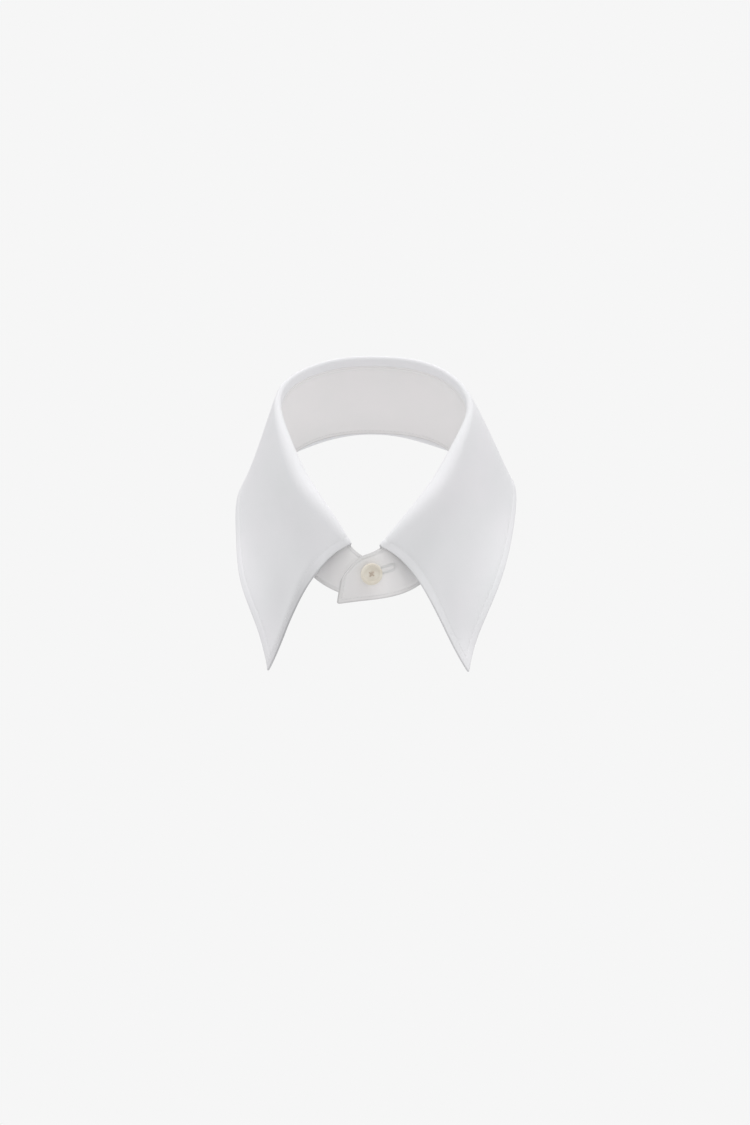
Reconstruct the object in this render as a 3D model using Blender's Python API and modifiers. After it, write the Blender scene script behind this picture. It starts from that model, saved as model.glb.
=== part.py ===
"""Detachable shirt collar, buttoned and filled out as it is worn, with nobody inside it.

The collar is two walls of cloth: the band that stands round the neck, with its two tabs
overlapping at the front, and the leaf that rises from the band's top seam, rolls over and
falls outside it to the two points. A mother-of-pearl button closes the tabs.
X runs to the wearer's left, Y to the back of the neck and Z up. The origin is the middle of
the neck opening. Tables and sizes are in millimetres; meshes are written in metres.
"""

import math

import bmesh
import bpy
import numpy as np
from mathutils import Matrix, Vector

MM = 0.001

# Driving sizes
BAND_WALL = 1.4  # two plies and the interlining
LEAF_WALL = 1.2
SEAM_GAP = 0.3  # between two pieces that are sewn or tied to each other
TIP_ROUND = 1.6  # how far back from each point its rounding starts
BUTTON_DIAMETER = 12.0
BUTTON_THICKNESS = 2.4
BUTTON_HOLE = 1.5
BUTTON_HOLE_PITCH = 2.6
SHANK_DIAMETER = 1.1
SHANK_LENGTH = 1.2  # thread that shows between the over tab and the button
SLOT_LENGTH = 14.5  # worked buttonhole, a little longer than the button is wide
SLOT_WIDTH = 1.8
SLOT_CORNER = 0.8
SLOT_PAST = 0.6  # how far the buttonhole's cutter runs past each face of the tab
BUTTON_ALONG = 1.064  # where the button sits: along the over tab, and up it from base to top
BUTTON_UP = 0.58

# Sections through the band. `along` runs from 0 at the centre back to 1 where the leaf ends
# and on to the end of the tab; base is the band's lower edge and top is its sewn upper edge.
BAND_COLUMNS = ("along", "base_x", "base_y", "base_z", "top_x", "top_y", "top_z")
BAND_SECTIONS = {
    "centre_back": (0.00, 0.0, 57.0, 6.5, 0.0, 53.4, 49.4),
    "back": (0.20, 32.0, 52.0, 4.0, 29.9, 49.4, 46.9),
    "back_corner": (0.34, 50.0, 36.5, -2.0, 48.4, 36.0, 40.9),
    "widest": (0.46, 55.5, 16.0, -10.5, 52.5, 18.5, 31.5),
    "side": (0.57, 54.0, -5.0, -19.0, 46.8, 1.0, 21.5),
    "side_front": (0.72, 44.5, -28.0, -28.5, 37.0, -18.0, 9.5),
}
# The wearer's left end passes over the right one, so each has its own rows, and the left
# back corner stands a little further in.
OVER_TAB_SECTIONS = {
    "back_corner": (0.34, 48.8, 36.5, -2.0, 46.7, 36.0, 40.9),
    "front": (0.88, 27.0, -51.0, -39.5, 22.5, -40.5, -3.5),
    "leaf_end": (1.00, 11.0, -61.5, -41.7, 6.8, -55.6, -14.8),
    "centre_front": (1.12, -3.0, -65.5, -42.2, -4.2, -60.0, -18.8),
    "tab_end": (1.24, -16.5, -65.5, -44.4, -14.3, -63.2, -30.2),
}
UNDER_TAB_SECTIONS = {
    "front": (0.88, 27.0, -50.0, -38.2, 22.5, -40.0, -3.5),
    "leaf_end": (1.00, 11.0, -58.5, -42.4, 9.5, -52.4, -15.4),
    "centre_front": (1.12, -3.0, -61.5, -43.0, 0.0, -56.8, -21.0),
    "tab_end": (1.24, -17.5, -55.0, -42.0, -15.0, -53.5, -32.5),
}

# Sections through the leaf: where its outer edge lies, how tall the fold stands above the
# seam and how wide it rolls, the degrees by which the leaf springs out of the fold and tucks
# in again at its edge, and the degrees by which it bows sideways, towards the points.
LEAF_COLUMNS = ("along", "edge_x", "edge_y", "edge_z", "rise", "roll", "spring", "tuck", "bow")
LEAF_LEFT_SECTIONS = {
    "centre_back": (0.00, 0.0, 62.0, 4.0, 4.6, 1.0, 2, 2, 0),
    "back": (0.20, 33.5, 57.4, -1.0, 4.6, 1.0, 3, 2, 0),
    "back_corner": (0.34, 70.5, 42.3, -9.5, 4.6, 1.1, 2, 0, 0),
    "widest": (0.46, 80.5, 20.3, -15.8, 5.5, 1.8, 4, -4, 0),
    "side": (0.57, 78.1, -2.3, -32.0, 5.5, 3.4, -6, -10, 0),
    "side_front": (0.72, 70.7, -30.0, -50.0, 5.4, 4.9, -8, -12, 4),
    "front": (0.88, 60.0, -56.0, -68.0, 5.0, 4.6, -6, -8, 12),
    "leaf_end": (1.00, 55.6, -72.3, -81.2, 1.4, 1.2, -5, -2, 32),
}
LEAF_RIGHT_SECTIONS = {
    "centre_back": (0.00, 0.0, 62.0, 4.0, 4.6, 1.0, 2, 2, 0),
    "back": (0.20, 34.2, 57.5, -0.5, 4.6, 1.0, 3, 2, 0),
    "back_corner": (0.34, 61.5, 42.1, -8.4, 4.6, 1.1, 0, -3, 0),
    "widest": (0.46, 76.2, 21.2, -16.0, 5.5, 1.8, 0, -6, 0),
    "side": (0.57, 76.4, -2.0, -30.1, 5.5, 3.4, -6, -10, 0),
    "side_front": (0.72, 72.0, -29.3, -48.5, 5.4, 4.9, -8, -12, 4),
    "front": (0.88, 60.0, -56.0, -67.0, 5.0, 4.6, -6, -8, 12),
    "leaf_end": (1.00, 53.4, -72.6, -82.8, 1.4, 1.2, -1, 4, 35),
}

# How finely the walls and the round pieces are divided
BAND_ROWS = 5
BAND_STEPS = 72
TAB_STEPS = 12
LEAF_STEPS = 76
ROLL_ROWS = 6
FALL_ROWS = 9
CORNER_STEPS = 3
BUTTON_STEPS = 36
HOLE_STEPS = 14
SHANK_STEPS = 16


def unit(vectors):
    return vectors / np.linalg.norm(vectors, axis=-1, keepdims=True)


def dot(first, second):
    return (first * second).sum(axis=-1, keepdims=True)


def square_to(vectors, axis):
    """The unit directions of the vectors once their part along the unit axis is taken out."""
    return unit(vectors - dot(vectors, axis) * axis)


def both_sides(left, right, mirrored):
    """Rows from the wearer's right end to the left one; `mirrored` columns change sign."""
    left = np.array(list(left.values()), float)
    right = np.array(list(right.values()), float)[:0:-1].copy()
    right[:, mirrored] *= -1
    return np.vstack([right, left])


def smooth(rows, along):
    """The natural cubic spline through the rows, whose first column is `along`."""
    knots, values = rows[:, 0], rows[:, 1:]
    gaps = np.diff(knots)
    slopes = np.diff(values, axis=0) / gaps[:, None]
    system = np.eye(len(knots))
    right_side = np.zeros_like(values)
    inner = np.arange(1, len(knots) - 1)
    system[inner, inner - 1] = gaps[:-1]
    system[inner, inner] = 2 * (gaps[:-1] + gaps[1:])
    system[inner, inner + 1] = gaps[1:]
    right_side[inner] = 6 * np.diff(slopes, axis=0)
    bend = np.linalg.solve(system, right_side)
    low = np.clip(np.searchsorted(knots, along, side="right") - 1, 0, len(gaps) - 1)
    gap = gaps[low][:, None]
    after = (along - knots[low])[:, None] / gap
    before = 1 - after
    curve = (before**3 - before) * bend[low] + (after**3 - after) * bend[low + 1]
    return before * values[low] + after * values[low + 1] + curve * gap**2 / 6


BAND_TABLE = both_sides(
    BAND_SECTIONS | OVER_TAB_SECTIONS,
    BAND_SECTIONS | UNDER_TAB_SECTIONS,
    [BAND_COLUMNS.index(name) for name in ("along", "base_x", "top_x")],
)
LEAF_TABLE = both_sides(
    LEAF_LEFT_SECTIONS,
    LEAF_RIGHT_SECTIONS,
    [LEAF_COLUMNS.index(name) for name in ("along", "edge_x")],
)


def band_edges(along):
    """The band's lower and upper edge, each (n, 3)."""
    values = smooth(BAND_TABLE, along)
    return values[:, :3], values[:, 3:]


def band_line(along, height):
    """Points of the band's middle surface at a share of its height, 0 at the base, 1 at the top."""
    base, top = band_edges(along)
    return base + (top - base) * height


def band_frame(along, height):
    """The band's points at that height, its tangent there, the way up its wall and out of it."""
    step = 1e-4
    base, top = band_edges(along)
    tangent = unit(band_line(along + step, height) - band_line(along - step, height))
    up = square_to(top - base, tangent)
    return band_line(along, height), tangent, up, np.cross(up, tangent)


def band_surface():
    """The band's middle surface, (rows from base to top, steps from tab to tab, 3)."""
    ends = BAND_TABLE[0, 0], BAND_TABLE[-1, 0]
    along = np.concatenate([
        np.linspace(ends[0], -1, TAB_STEPS + 1)[:-1],
        np.linspace(-1, 1, BAND_STEPS + 1),
        np.linspace(1, ends[1], TAB_STEPS + 1)[1:],
    ])
    return band_line(along, np.linspace(0, 1, BAND_ROWS)[:, None, None])


def leaf_surface():
    """The leaf's middle surface, (rows from seam to outer edge, steps from end to end, 3).

    Each section rises straight from the seam, turns over an arc of radius `roll` and falls
    to the outer edge along a cubic curve that leaves the arc smoothly.
    """
    along = np.linspace(-1, 1, LEAF_STEPS + 1)
    band_top, tangent, up, out = band_frame(along, 1.0)
    values = smooth(LEAF_TABLE, along)
    edge = values[:, :3]
    rise, roll = values[:, 3:4], values[:, 4:5]
    spring, tuck, bow = np.radians(values[:, 5:8]).T[:, :, None]

    seam = band_top + up * SEAM_GAP
    centre = seam + up * (rise - roll) + out * roll
    chord = edge - centre
    reach = np.hypot(dot(chord, out), dot(chord, up))
    dip = np.arctan2(-dot(chord, up), dot(chord, out)) - spring  # below level, leaving the fold
    turn = np.linspace(0, 1, ROLL_ROWS)[:, None, None]
    angle = math.pi + (math.pi / 2 - dip - math.pi) * turn
    fold = centre + roll * (np.cos(angle) * out + np.sin(angle) * up)

    start = fold[-1]
    sideways = np.arctan2(dot(chord, tangent), reach) - np.sign(along)[:, None] * bow
    leaving = (np.cos(dip) * out - np.sin(dip) * up) * np.cos(sideways)
    leaving = leaving + tangent * np.sin(sideways)
    straight = edge - start
    third = np.linalg.norm(straight, axis=1, keepdims=True) / 3
    straight = unit(straight)
    outward = unit(np.cross(straight, tangent))
    outward = outward * np.sign(dot(outward, out))
    arriving = straight * np.cos(tuck) - outward * np.sin(tuck)
    along_fall = np.linspace(0, 1, FALL_ROWS + 1)[1:, None, None]
    rest = 1 - along_fall
    fall = (
        rest**3 * start
        + 3 * rest**2 * along_fall * (start + leaving * third)
        + 3 * rest * along_fall**2 * (edge - arriving * third)
        + along_fall**3 * edge
    )
    return np.concatenate([seam[None], fold, fall])


def new_material(name, colour, roughness):
    material = bpy.data.materials.new(name)
    material.use_nodes = True
    shader = material.node_tree.nodes["Principled BSDF"]
    shader.inputs["Base Color"].default_value = (*colour, 1)
    shader.inputs["Roughness"].default_value = roughness
    shader.inputs["Metallic"].default_value = 0
    material.diffuse_color = (*colour, 1)
    return material


def new_collection(name):
    collection = bpy.data.collections.new(name)
    bpy.context.scene.collection.children.link(collection)
    return collection


def new_object(name, mesh, collection, material=None):
    thing = bpy.data.objects.new(name, mesh)
    collection.objects.link(thing)
    if material:
        mesh.materials.append(material)
    return thing


def sheet_mesh(name, surface, rounded_corners=()):
    """A quad mesh over a (rows, steps, 3) surface, facing away from the neck."""
    rows, steps = surface.shape[:2]
    index = np.arange(rows * steps).reshape(rows, steps)
    quads = np.stack([index[:-1, :-1], index[1:, :-1], index[1:, 1:], index[:-1, 1:]], axis=-1)
    mesh = bpy.data.meshes.new(name)
    mesh.from_pydata((surface.reshape(-1, 3) * MM).tolist(), [], quads.reshape(-1, 4).tolist())
    if rounded_corners:
        cage = bmesh.new()
        cage.from_mesh(mesh)
        cage.verts.ensure_lookup_table()
        corners = [cage.verts[index[corner]] for corner in rounded_corners]
        bmesh.ops.bevel(
            cage, geom=corners, offset=TIP_ROUND * MM, segments=CORNER_STEPS, profile=0.5,
            affect="VERTICES",
        )
        cage.to_mesh(mesh)
        cage.free()
    mesh.shade_smooth()
    return mesh


def give_wall(thing, wall):
    solidify = thing.modifiers.new("Wall", "SOLIDIFY")
    solidify.thickness = wall * MM
    solidify.offset = 0
    solidify.use_even_offset = True


def place(thing, origin, axis_x, axis_y, axis_z):
    """Puts the object at `origin`, in millimetres, with its own axes along the given ones."""
    axes = Matrix([axis_x, axis_y, axis_z]).transposed()
    thing.matrix_world = Matrix.Translation(Vector(origin) * MM) @ axes.to_4x4()


def cut(thing, cutter):
    boolean = thing.modifiers.new(cutter.name, "BOOLEAN")
    boolean.operation = "DIFFERENCE"
    boolean.solver = "EXACT"
    boolean.object = cutter


def new_cutter(name, mesh, collection):
    cutter = new_object(name, mesh, collection)
    cutter.hide_render = True
    cutter.display_type = "WIRE"
    return cutter


def button_seat():
    """The point of the over tab's middle surface under the button, and the axes there."""
    return [each[0] for each in band_frame(np.array([BUTTON_ALONG]), BUTTON_UP)]


def depth_to_under_tab(point, normal):
    """How far behind the point the under tab's middle surface lies, along the normal."""
    under_tab = band_line(np.linspace(BAND_TABLE[0, 0], -1, 60), np.linspace(0, 1, 40)[:, None, None])
    offsets = (under_tab - point).reshape(-1, 3)
    deep = -dot(offsets, normal)
    beside = np.linalg.norm(offsets + deep * normal, axis=1)
    return float(deep[beside.argmin(), 0])


def make_leaf(collection):
    surface = leaf_surface()
    points = ((-1, 0), (-1, -1))
    leaf = new_object(
        "collar_leaf",
        sheet_mesh("collar_leaf", surface, points),
        collection,
        new_material("leaf poplin", (0.87, 0.87, 0.89), 0.85),
    )
    give_wall(leaf, LEAF_WALL)


def make_band(collection, cutters):
    band = new_object(
        "collar_band",
        sheet_mesh("collar_band", band_surface()),
        collection,
        new_material("band poplin", (0.86, 0.85, 0.86), 0.85),
    )
    give_wall(band, BAND_WALL)

    # The buttonhole runs from the shank, at its front end, towards the wearer's left.
    seat, tangent, up, normal = button_seat()
    size = np.array([SLOT_LENGTH, SLOT_WIDTH, BAND_WALL + 2 * SLOT_PAST]) * MM
    slot_cage = bmesh.new()
    bmesh.ops.create_cube(slot_cage, size=1)
    bmesh.ops.scale(slot_cage, vec=size, verts=slot_cage.verts)
    through = [e for e in slot_cage.edges if abs(e.verts[0].co.z - e.verts[1].co.z) > size[2] / 2]
    bmesh.ops.bevel(
        slot_cage, geom=through, offset=SLOT_CORNER * MM, segments=CORNER_STEPS, profile=0.5,
        affect="EDGES",
    )
    slot = bpy.data.meshes.new("buttonhole")
    slot_cage.to_mesh(slot)
    slot_cage.free()
    cutter = new_cutter("buttonhole", slot, cutters)
    place(cutter, seat - tangent * (SLOT_LENGTH - SLOT_WIDTH) / 2, tangent, up, normal)
    cut(band, cutter)


def make_button(collection, cutters):
    radius = BUTTON_DIAMETER / 2
    # Half section of the button, from the middle of its dished face over the rim to its back
    profile = [
        (0, 0.72), (0.55, 0.72), (0.66, 0.80), (0.74, 0.96), (0.86, 1.0), (0.95, 0.92),
        (1.0, 0.72), (0.98, 0.42), (0.86, 0.16), (0.60, 0.0), (0, 0.0),
    ]
    mesh = bpy.data.meshes.new("button")
    points = [(r * radius * MM, 0, z * BUTTON_THICKNESS * MM) for r, z in profile]
    mesh.from_pydata(points, [(i, i + 1) for i in range(len(points) - 1)], [])
    button = new_object(
        "button", mesh, collection, new_material("mother of pearl", (0.86, 0.83, 0.76), 0.25)
    )
    turned = button.modifiers.new("Turned", "SCREW")
    turned.steps = turned.render_steps = BUTTON_STEPS
    turned.use_merge_vertices = True
    turned.merge_threshold = 1e-5

    drills = bmesh.new()
    for x in (-0.5, 0.5):
        for y in (-0.5, 0.5):
            at = Vector((x, y, 0)) * BUTTON_HOLE_PITCH * MM
            bmesh.ops.create_cone(
                drills, cap_ends=True, segments=HOLE_STEPS, radius1=BUTTON_HOLE / 2 * MM,
                radius2=BUTTON_HOLE / 2 * MM, depth=4 * BUTTON_THICKNESS * MM,
                matrix=Matrix.Translation(at),
            )
    drill_mesh = bpy.data.meshes.new("button_holes")
    drills.to_mesh(drill_mesh)
    drills.free()
    holes = new_cutter("button_holes", drill_mesh, cutters)

    seat, tangent, up, normal = button_seat()
    back = seat + normal * (BAND_WALL / 2 + SHANK_LENGTH)
    for thing in (button, holes):
        place(thing, back, tangent, up, normal)
    cut(button, holes)

    # The thread runs from the under tab, through the buttonhole, to the button's back.
    depth = depth_to_under_tab(seat, normal) - BAND_WALL / 2 - SEAM_GAP
    reach = BAND_WALL / 2 + SHANK_LENGTH - SEAM_GAP
    shank_cage = bmesh.new()
    bmesh.ops.create_cone(
        shank_cage, cap_ends=True, segments=SHANK_STEPS, radius1=SHANK_DIAMETER / 2 * MM,
        radius2=SHANK_DIAMETER / 2 * MM, depth=(depth + reach) * MM,
    )
    shank_mesh = bpy.data.meshes.new("button_thread")
    shank_cage.to_mesh(shank_mesh)
    shank_cage.free()
    shank_mesh.shade_smooth()
    shank_mesh.set_sharp_from_angle(angle=math.radians(40))
    shank = new_object(
        "button_thread", shank_mesh, collection, new_material("thread", (0.85, 0.84, 0.80), 0.9)
    )
    place(shank, seat + normal * (reach - depth) / 2, tangent, up, normal)


def main():
    for thing in list(bpy.data.objects):
        bpy.data.objects.remove(thing, do_unlink=True)
    collar = new_collection("detachable_shirt_collar")
    cutters = new_collection("cutters")
    make_band(collar, cutters)
    make_leaf(collar)
    make_button(collar, cutters)


main()
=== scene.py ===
import math

import bpy
import numpy as np
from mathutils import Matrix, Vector


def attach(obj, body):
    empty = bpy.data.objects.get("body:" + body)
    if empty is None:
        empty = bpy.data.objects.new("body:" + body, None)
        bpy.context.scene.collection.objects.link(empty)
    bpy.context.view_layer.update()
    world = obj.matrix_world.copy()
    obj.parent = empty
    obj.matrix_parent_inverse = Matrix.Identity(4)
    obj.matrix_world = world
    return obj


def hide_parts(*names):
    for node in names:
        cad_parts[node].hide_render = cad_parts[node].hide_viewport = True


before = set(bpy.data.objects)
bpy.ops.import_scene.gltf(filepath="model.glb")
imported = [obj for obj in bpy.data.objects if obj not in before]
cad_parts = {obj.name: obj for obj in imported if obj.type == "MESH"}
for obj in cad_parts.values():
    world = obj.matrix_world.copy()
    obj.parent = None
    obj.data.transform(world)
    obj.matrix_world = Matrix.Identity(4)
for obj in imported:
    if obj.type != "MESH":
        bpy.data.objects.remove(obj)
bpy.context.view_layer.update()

# Detachable shirt collar: the fine cloth, stitching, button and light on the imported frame.
# Shapes are worked out in millimetres and written to meshes in metres.
# X runs to the wearer's left, Y to the back of the neck, Z up.

mm = 0.001
scene = bpy.context.scene


def unit(vectors):
    # each vector over its own length
    return vectors / np.maximum(np.linalg.norm(vectors, axis=-1, keepdims=True), 1e-12)


def dot(first, second):
    # sum of products, kept as a column
    return (first * second).sum(axis=-1, keepdims=True)


def smoothStep(low, high, values):
    # 0 below low, 1 above high, and 3t^2 - 2t^3 between them
    t = np.clip((values - low) / (high - low), 0, 1)
    return t * t * (3 - 2 * t)


def bell(values, width):
    # a smooth hump of height 1 that has fallen to a third at `width`
    return np.exp(-(values / width) ** 2)


def bothSides(left, right, mirrored):
    # rows from the wearer's right end to the left one; the mirrored columns change sign
    leftRows = np.array(list(left.values()), float)
    rightRows = np.array(list(right.values()), float)[:0:-1].copy()
    rightRows[:, mirrored] *= -1
    return np.vstack([rightRows, leftRows])


def spline(rows, along):
    # natural cubic spline through the rows, whose first column is the knot
    knots, values = rows[:, 0], rows[:, 1:]
    gaps = np.diff(knots)
    slopes = np.diff(values, axis=0) / gaps[:, None]
    system = np.eye(len(knots))
    rightSide = np.zeros_like(values)
    inner = np.arange(1, len(knots) - 1)
    system[inner, inner - 1] = gaps[:-1]
    system[inner, inner] = 2 * (gaps[:-1] + gaps[1:])
    system[inner, inner + 1] = gaps[1:]
    rightSide[inner] = 6 * np.diff(slopes, axis=0)
    bend = np.linalg.solve(system, rightSide)
    low = np.clip(np.searchsorted(knots, along, side="right") - 1, 0, len(gaps) - 1)
    gap = gaps[low][..., None]
    after = (along - knots[low])[..., None] / gap
    before = 1 - after
    curve = (before**3 - before) * bend[low] + (after**3 - after) * bend[low + 1]
    return before * values[low] + after * values[low + 1] + curve * gap**2 / 6


# along runs from 0 at the centre back to 1 where the leaf ends, and on to the tab's end.
# The wearer's left end passes over the right one, so each has rows of its own, and the left
# back corner stands a little further in.
bandColumns = ("along", "baseX", "baseY", "baseZ", "topX", "topY", "topZ")
bandSections = {
    "centreBack": (0.00, 0.0, 57.0, 6.5, 0.0, 53.4, 49.4),
    "back": (0.20, 32.0, 52.0, 4.0, 29.9, 49.4, 46.9),
    "backCorner": (0.34, 50.0, 36.5, -2.0, 48.4, 36.0, 40.9),
    "widest": (0.46, 55.5, 16.0, -10.5, 52.5, 18.5, 31.5),
    "side": (0.57, 54.0, -5.0, -19.0, 46.8, 1.0, 21.5),
    "sideFront": (0.72, 44.5, -28.0, -28.5, 37.0, -18.0, 9.5),
}
overTabSections = {
    "backCorner": (0.34, 48.8, 36.5, -2.0, 46.7, 36.0, 40.9),
    "front": (0.88, 27.0, -51.0, -39.5, 22.5, -40.5, -3.5),
    "leafEnd": (1.00, 11.0, -61.5, -41.7, 6.8, -55.6, -14.8),
    "centreFront": (1.12, -3.0, -65.5, -42.2, -4.2, -60.0, -18.8),
    "tabEnd": (1.24, -16.5, -65.5, -44.4, -14.3, -63.2, -30.2),
}
underTabSections = {
    "front": (0.88, 27.0, -50.0, -38.2, 22.5, -40.0, -3.5),
    "leafEnd": (1.00, 11.0, -58.5, -42.4, 9.5, -52.4, -15.4),
    "centreFront": (1.12, -3.0, -61.5, -43.0, 0.0, -56.8, -21.0),
    "tabEnd": (1.24, -17.5, -55.0, -42.0, -15.0, -53.5, -32.5),
}
# rise and roll shape the fold; spring, tuck and bow are degrees, as in the frame
leafColumns = ("along", "edgeX", "edgeY", "edgeZ", "rise", "roll", "spring", "tuck", "bow")
leafLeftSections = {
    "centreBack": (0.00, 0.0, 62.0, 4.0, 4.6, 1.0, 2, 2, 0),
    "back": (0.20, 33.5, 57.4, -1.0, 4.6, 1.0, 3, 2, 0),
    "backCorner": (0.34, 70.5, 42.3, -9.5, 4.6, 1.1, 2, 0, 0),
    "widest": (0.46, 80.5, 20.3, -15.8, 5.5, 1.8, 4, -4, 0),
    "side": (0.57, 78.1, -2.3, -32.0, 5.5, 3.4, -6, -10, 0),
    "sideFront": (0.72, 70.7, -30.0, -50.0, 5.4, 4.9, -8, -12, 4),
    "front": (0.88, 60.0, -56.0, -68.0, 5.0, 4.6, -6, -8, 12),
    "leafEnd": (1.00, 55.6, -72.3, -81.2, 1.4, 1.2, -5, -2, 32),
}
leafRightSections = {
    "centreBack": (0.00, 0.0, 62.0, 4.0, 4.6, 1.0, 2, 2, 0),
    "back": (0.20, 34.2, 57.5, -0.5, 4.6, 1.0, 3, 2, 0),
    "backCorner": (0.34, 61.5, 42.1, -8.4, 4.6, 1.1, 0, -3, 0),
    "widest": (0.46, 76.2, 21.2, -16.0, 5.5, 1.8, 0, -6, 0),
    "side": (0.57, 76.4, -2.0, -30.1, 5.5, 3.4, -6, -10, 0),
    "sideFront": (0.72, 72.0, -29.3, -48.5, 5.4, 4.9, -8, -12, 4),
    "front": (0.88, 60.0, -56.0, -67.0, 5.0, 4.6, -6, -8, 12),
    "leafEnd": (1.00, 53.4, -72.6, -82.8, 1.4, 1.2, -1, 4, 35),
}
bandTable = bothSides(
    bandSections | overTabSections,
    bandSections | underTabSections,
    [bandColumns.index(name) for name in ("along", "baseX", "topX")],
)
leafTable = bothSides(
    leafLeftSections, leafRightSections, [leafColumns.index(name) for name in ("along", "edgeX")]
)
seamGap = 0.3          # the leaf's sewn edge above the band's, in the frame
alongSpan = 200.0      # about how much cloth, in mm, one unit of along takes: for patterns and folds
rimSteps = 5           # rings that round a turned edge
farAway = 1e3          # a distance from an edge that isn't near
toneReach = 20.0       # distances from the outline are kept up to here
stitchSettings = {
    "pitch": 2.1,
    "radius": 0.10,
    "gap": 0.28,           # between two stitches
    "rise": 1.5,           # how far a stitch's crown stands out, in radii
    "steps": 8,
}


def bandPoint(along, share):
    # straight line from base to top at each place along the band, at a share of its height
    values = spline(bandTable, along)
    base, top = values[..., :3], values[..., 3:]
    return base + (top - base) * share[..., None]


def bandFrame(along, share):
    # the point, the tangent by central difference, the way up the wall and the way out of it
    step = 1e-4
    tangent = unit(bandPoint(along + step, share) - bandPoint(along - step, share))
    up = bandPoint(along, np.ones_like(share)) - bandPoint(along, np.zeros_like(share))
    up = unit(up - dot(up, tangent) * tangent)
    return bandPoint(along, share), tangent, up, np.cross(up, tangent)


def leafParts(along):
    # each section of the leaf: where its straight rise, its arc and its fall begin, and how they run
    seam, tangent, up, out = bandFrame(along, np.ones_like(along))
    values = spline(leafTable, along)
    edge, rise, roll = values[..., :3], values[..., 3:4], values[..., 4:5]
    spring, tuck, bow = np.moveaxis(np.radians(values[..., 5:8]), -1, 0)[..., None]
    seam = seam + up * seamGap
    centre = seam + up * (rise - roll) + out * roll
    chord = edge - centre
    reach = np.hypot(dot(chord, out), dot(chord, up))
    dip = np.arctan2(-dot(chord, up), dot(chord, out)) - spring
    start = centre + roll * (np.sin(dip) * out + np.cos(dip) * up)
    sideways = np.arctan2(dot(chord, tangent), reach) - np.sign(along)[..., None] * bow
    leaving = (np.cos(dip) * out - np.sin(dip) * up) * np.cos(sideways) + tangent * np.sin(sideways)
    straight = edge - start
    third = np.linalg.norm(straight, axis=-1, keepdims=True) / 3
    straight = unit(straight)
    outward = unit(np.cross(straight, tangent))
    outward = outward * np.sign(dot(outward, out))
    arriving = straight * np.cos(tuck) - outward * np.sin(tuck)
    return {
        "seam": seam, "up": up, "out": out, "centre": centre, "roll": roll, "rise": rise - roll,
        "turn": math.pi / 2 + dip, "start": start, "first": start + leaving * third,
        "second": edge - arriving * third, "edge": edge,
    }


def fallPoint(parts, t):
    # cubic from the end of the fold to the leaf's outer edge
    rest = 1 - t
    return (rest**3 * parts["start"] + 3 * rest**2 * t * parts["first"]
            + 3 * rest * t**2 * parts["second"] + t**3 * parts["edge"])


# lengths along the section, tabled once: the rise and arc exactly, the fall by its chords
tableAlong = np.linspace(-1, 1, 401)
tableParts = leafParts(tableAlong)
tableFall = fallPoint(
    {name: value[None] for name, value in tableParts.items()}, np.linspace(0, 1, 33)[:, None, None]
)
fallLengths = np.linalg.norm(np.diff(tableFall, axis=0), axis=2).sum(axis=0)
foldLengths = (tableParts["rise"] + tableParts["roll"] * tableParts["turn"])[:, 0]


def leafLength(along):
    # from the seam over the fold to the outer edge
    return np.interp(along, tableAlong, foldLengths + fallLengths)


def leafPoint(along, drop):
    # the point `drop` mm down the section from the seam: straight rise, then arc, then fall
    parts = leafParts(along)
    drop = drop[..., None]
    rise, roll, turn = parts["rise"], parts["roll"], parts["turn"]
    angle = math.pi - np.clip((drop - rise) / roll, 0, turn)
    fold = parts["centre"] + roll * (np.cos(angle) * parts["out"] + np.sin(angle) * parts["up"])
    t = (drop - rise - roll * turn) / np.interp(along, tableAlong, fallLengths)[..., None]
    point = np.where(drop < rise, parts["seam"] + parts["up"] * drop, fold)
    return np.where(t > 0, fallPoint(parts, np.maximum(t, 0)), point)


def fromEdge(settings, steps):
    # distances in from an edge: crowded round the rim as a quarter circle, then even, and one
    # of them exactly at the stitch line's inset
    rim, inset = settings["rim"], settings["inset"]
    turn = np.linspace(0, math.pi / 2, rimSteps + 1)
    rest = np.linspace(rim, settings["zone"], steps + 1)[1:]
    rest[np.abs(rest - inset).argmin()] = inset
    return np.concatenate([rim * (1 - np.cos(turn)), rest])


def roundedCorner(a, b, radius):
    # the square of side `radius` in the corner, squeezed into a quarter disc
    inside = (a < radius) & (b < radius)
    x, y = 1 - np.minimum(a, radius) / radius, 1 - np.minimum(b, radius) / radius
    newA = radius * (1 - x * np.sqrt(1 - y * y / 2))
    newB = radius * (1 - y * np.sqrt(1 - x * x / 2))
    return np.where(inside, newA, a), np.where(inside, newB, b)


def edgeDistance(a, b, radius):
    # distance from the outline near that corner
    inside = (a < radius) & (b < radius)
    return np.where(inside, radius - np.hypot(radius - a, radius - b), np.minimum(a, b))


def surfaceNormals(points):
    # cross product of the two grid directions, each from neighbouring rows and columns
    return unit(np.cross(np.gradient(points, axis=0), np.gradient(points, axis=1)))


def softRidges(x, y, ridges):
    # sum of long soft humps (or troughs, with a negative height), each turned by its slant
    total = np.zeros_like(x)
    for ridge in ridges:
        slant = math.radians(ridge["slant"])
        dx, dy = x - ridge["x"], y - ridge["y"]
        lengthways = dx * math.cos(slant) + dy * math.sin(slant)
        across = dy * math.cos(slant) - dx * math.sin(slant)
        total += ridge["height"] * bell(lengthways, ridge["length"]) * bell(across, ridge["width"])
    return total


def rimShare(distance, rim):
    # thickness near an edge as a share of the whole: a half circle of radius `rim`
    inward = np.clip(distance / rim, 0, 1)
    return np.sqrt(np.maximum(1 - (1 - inward) ** 2, 0))


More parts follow.
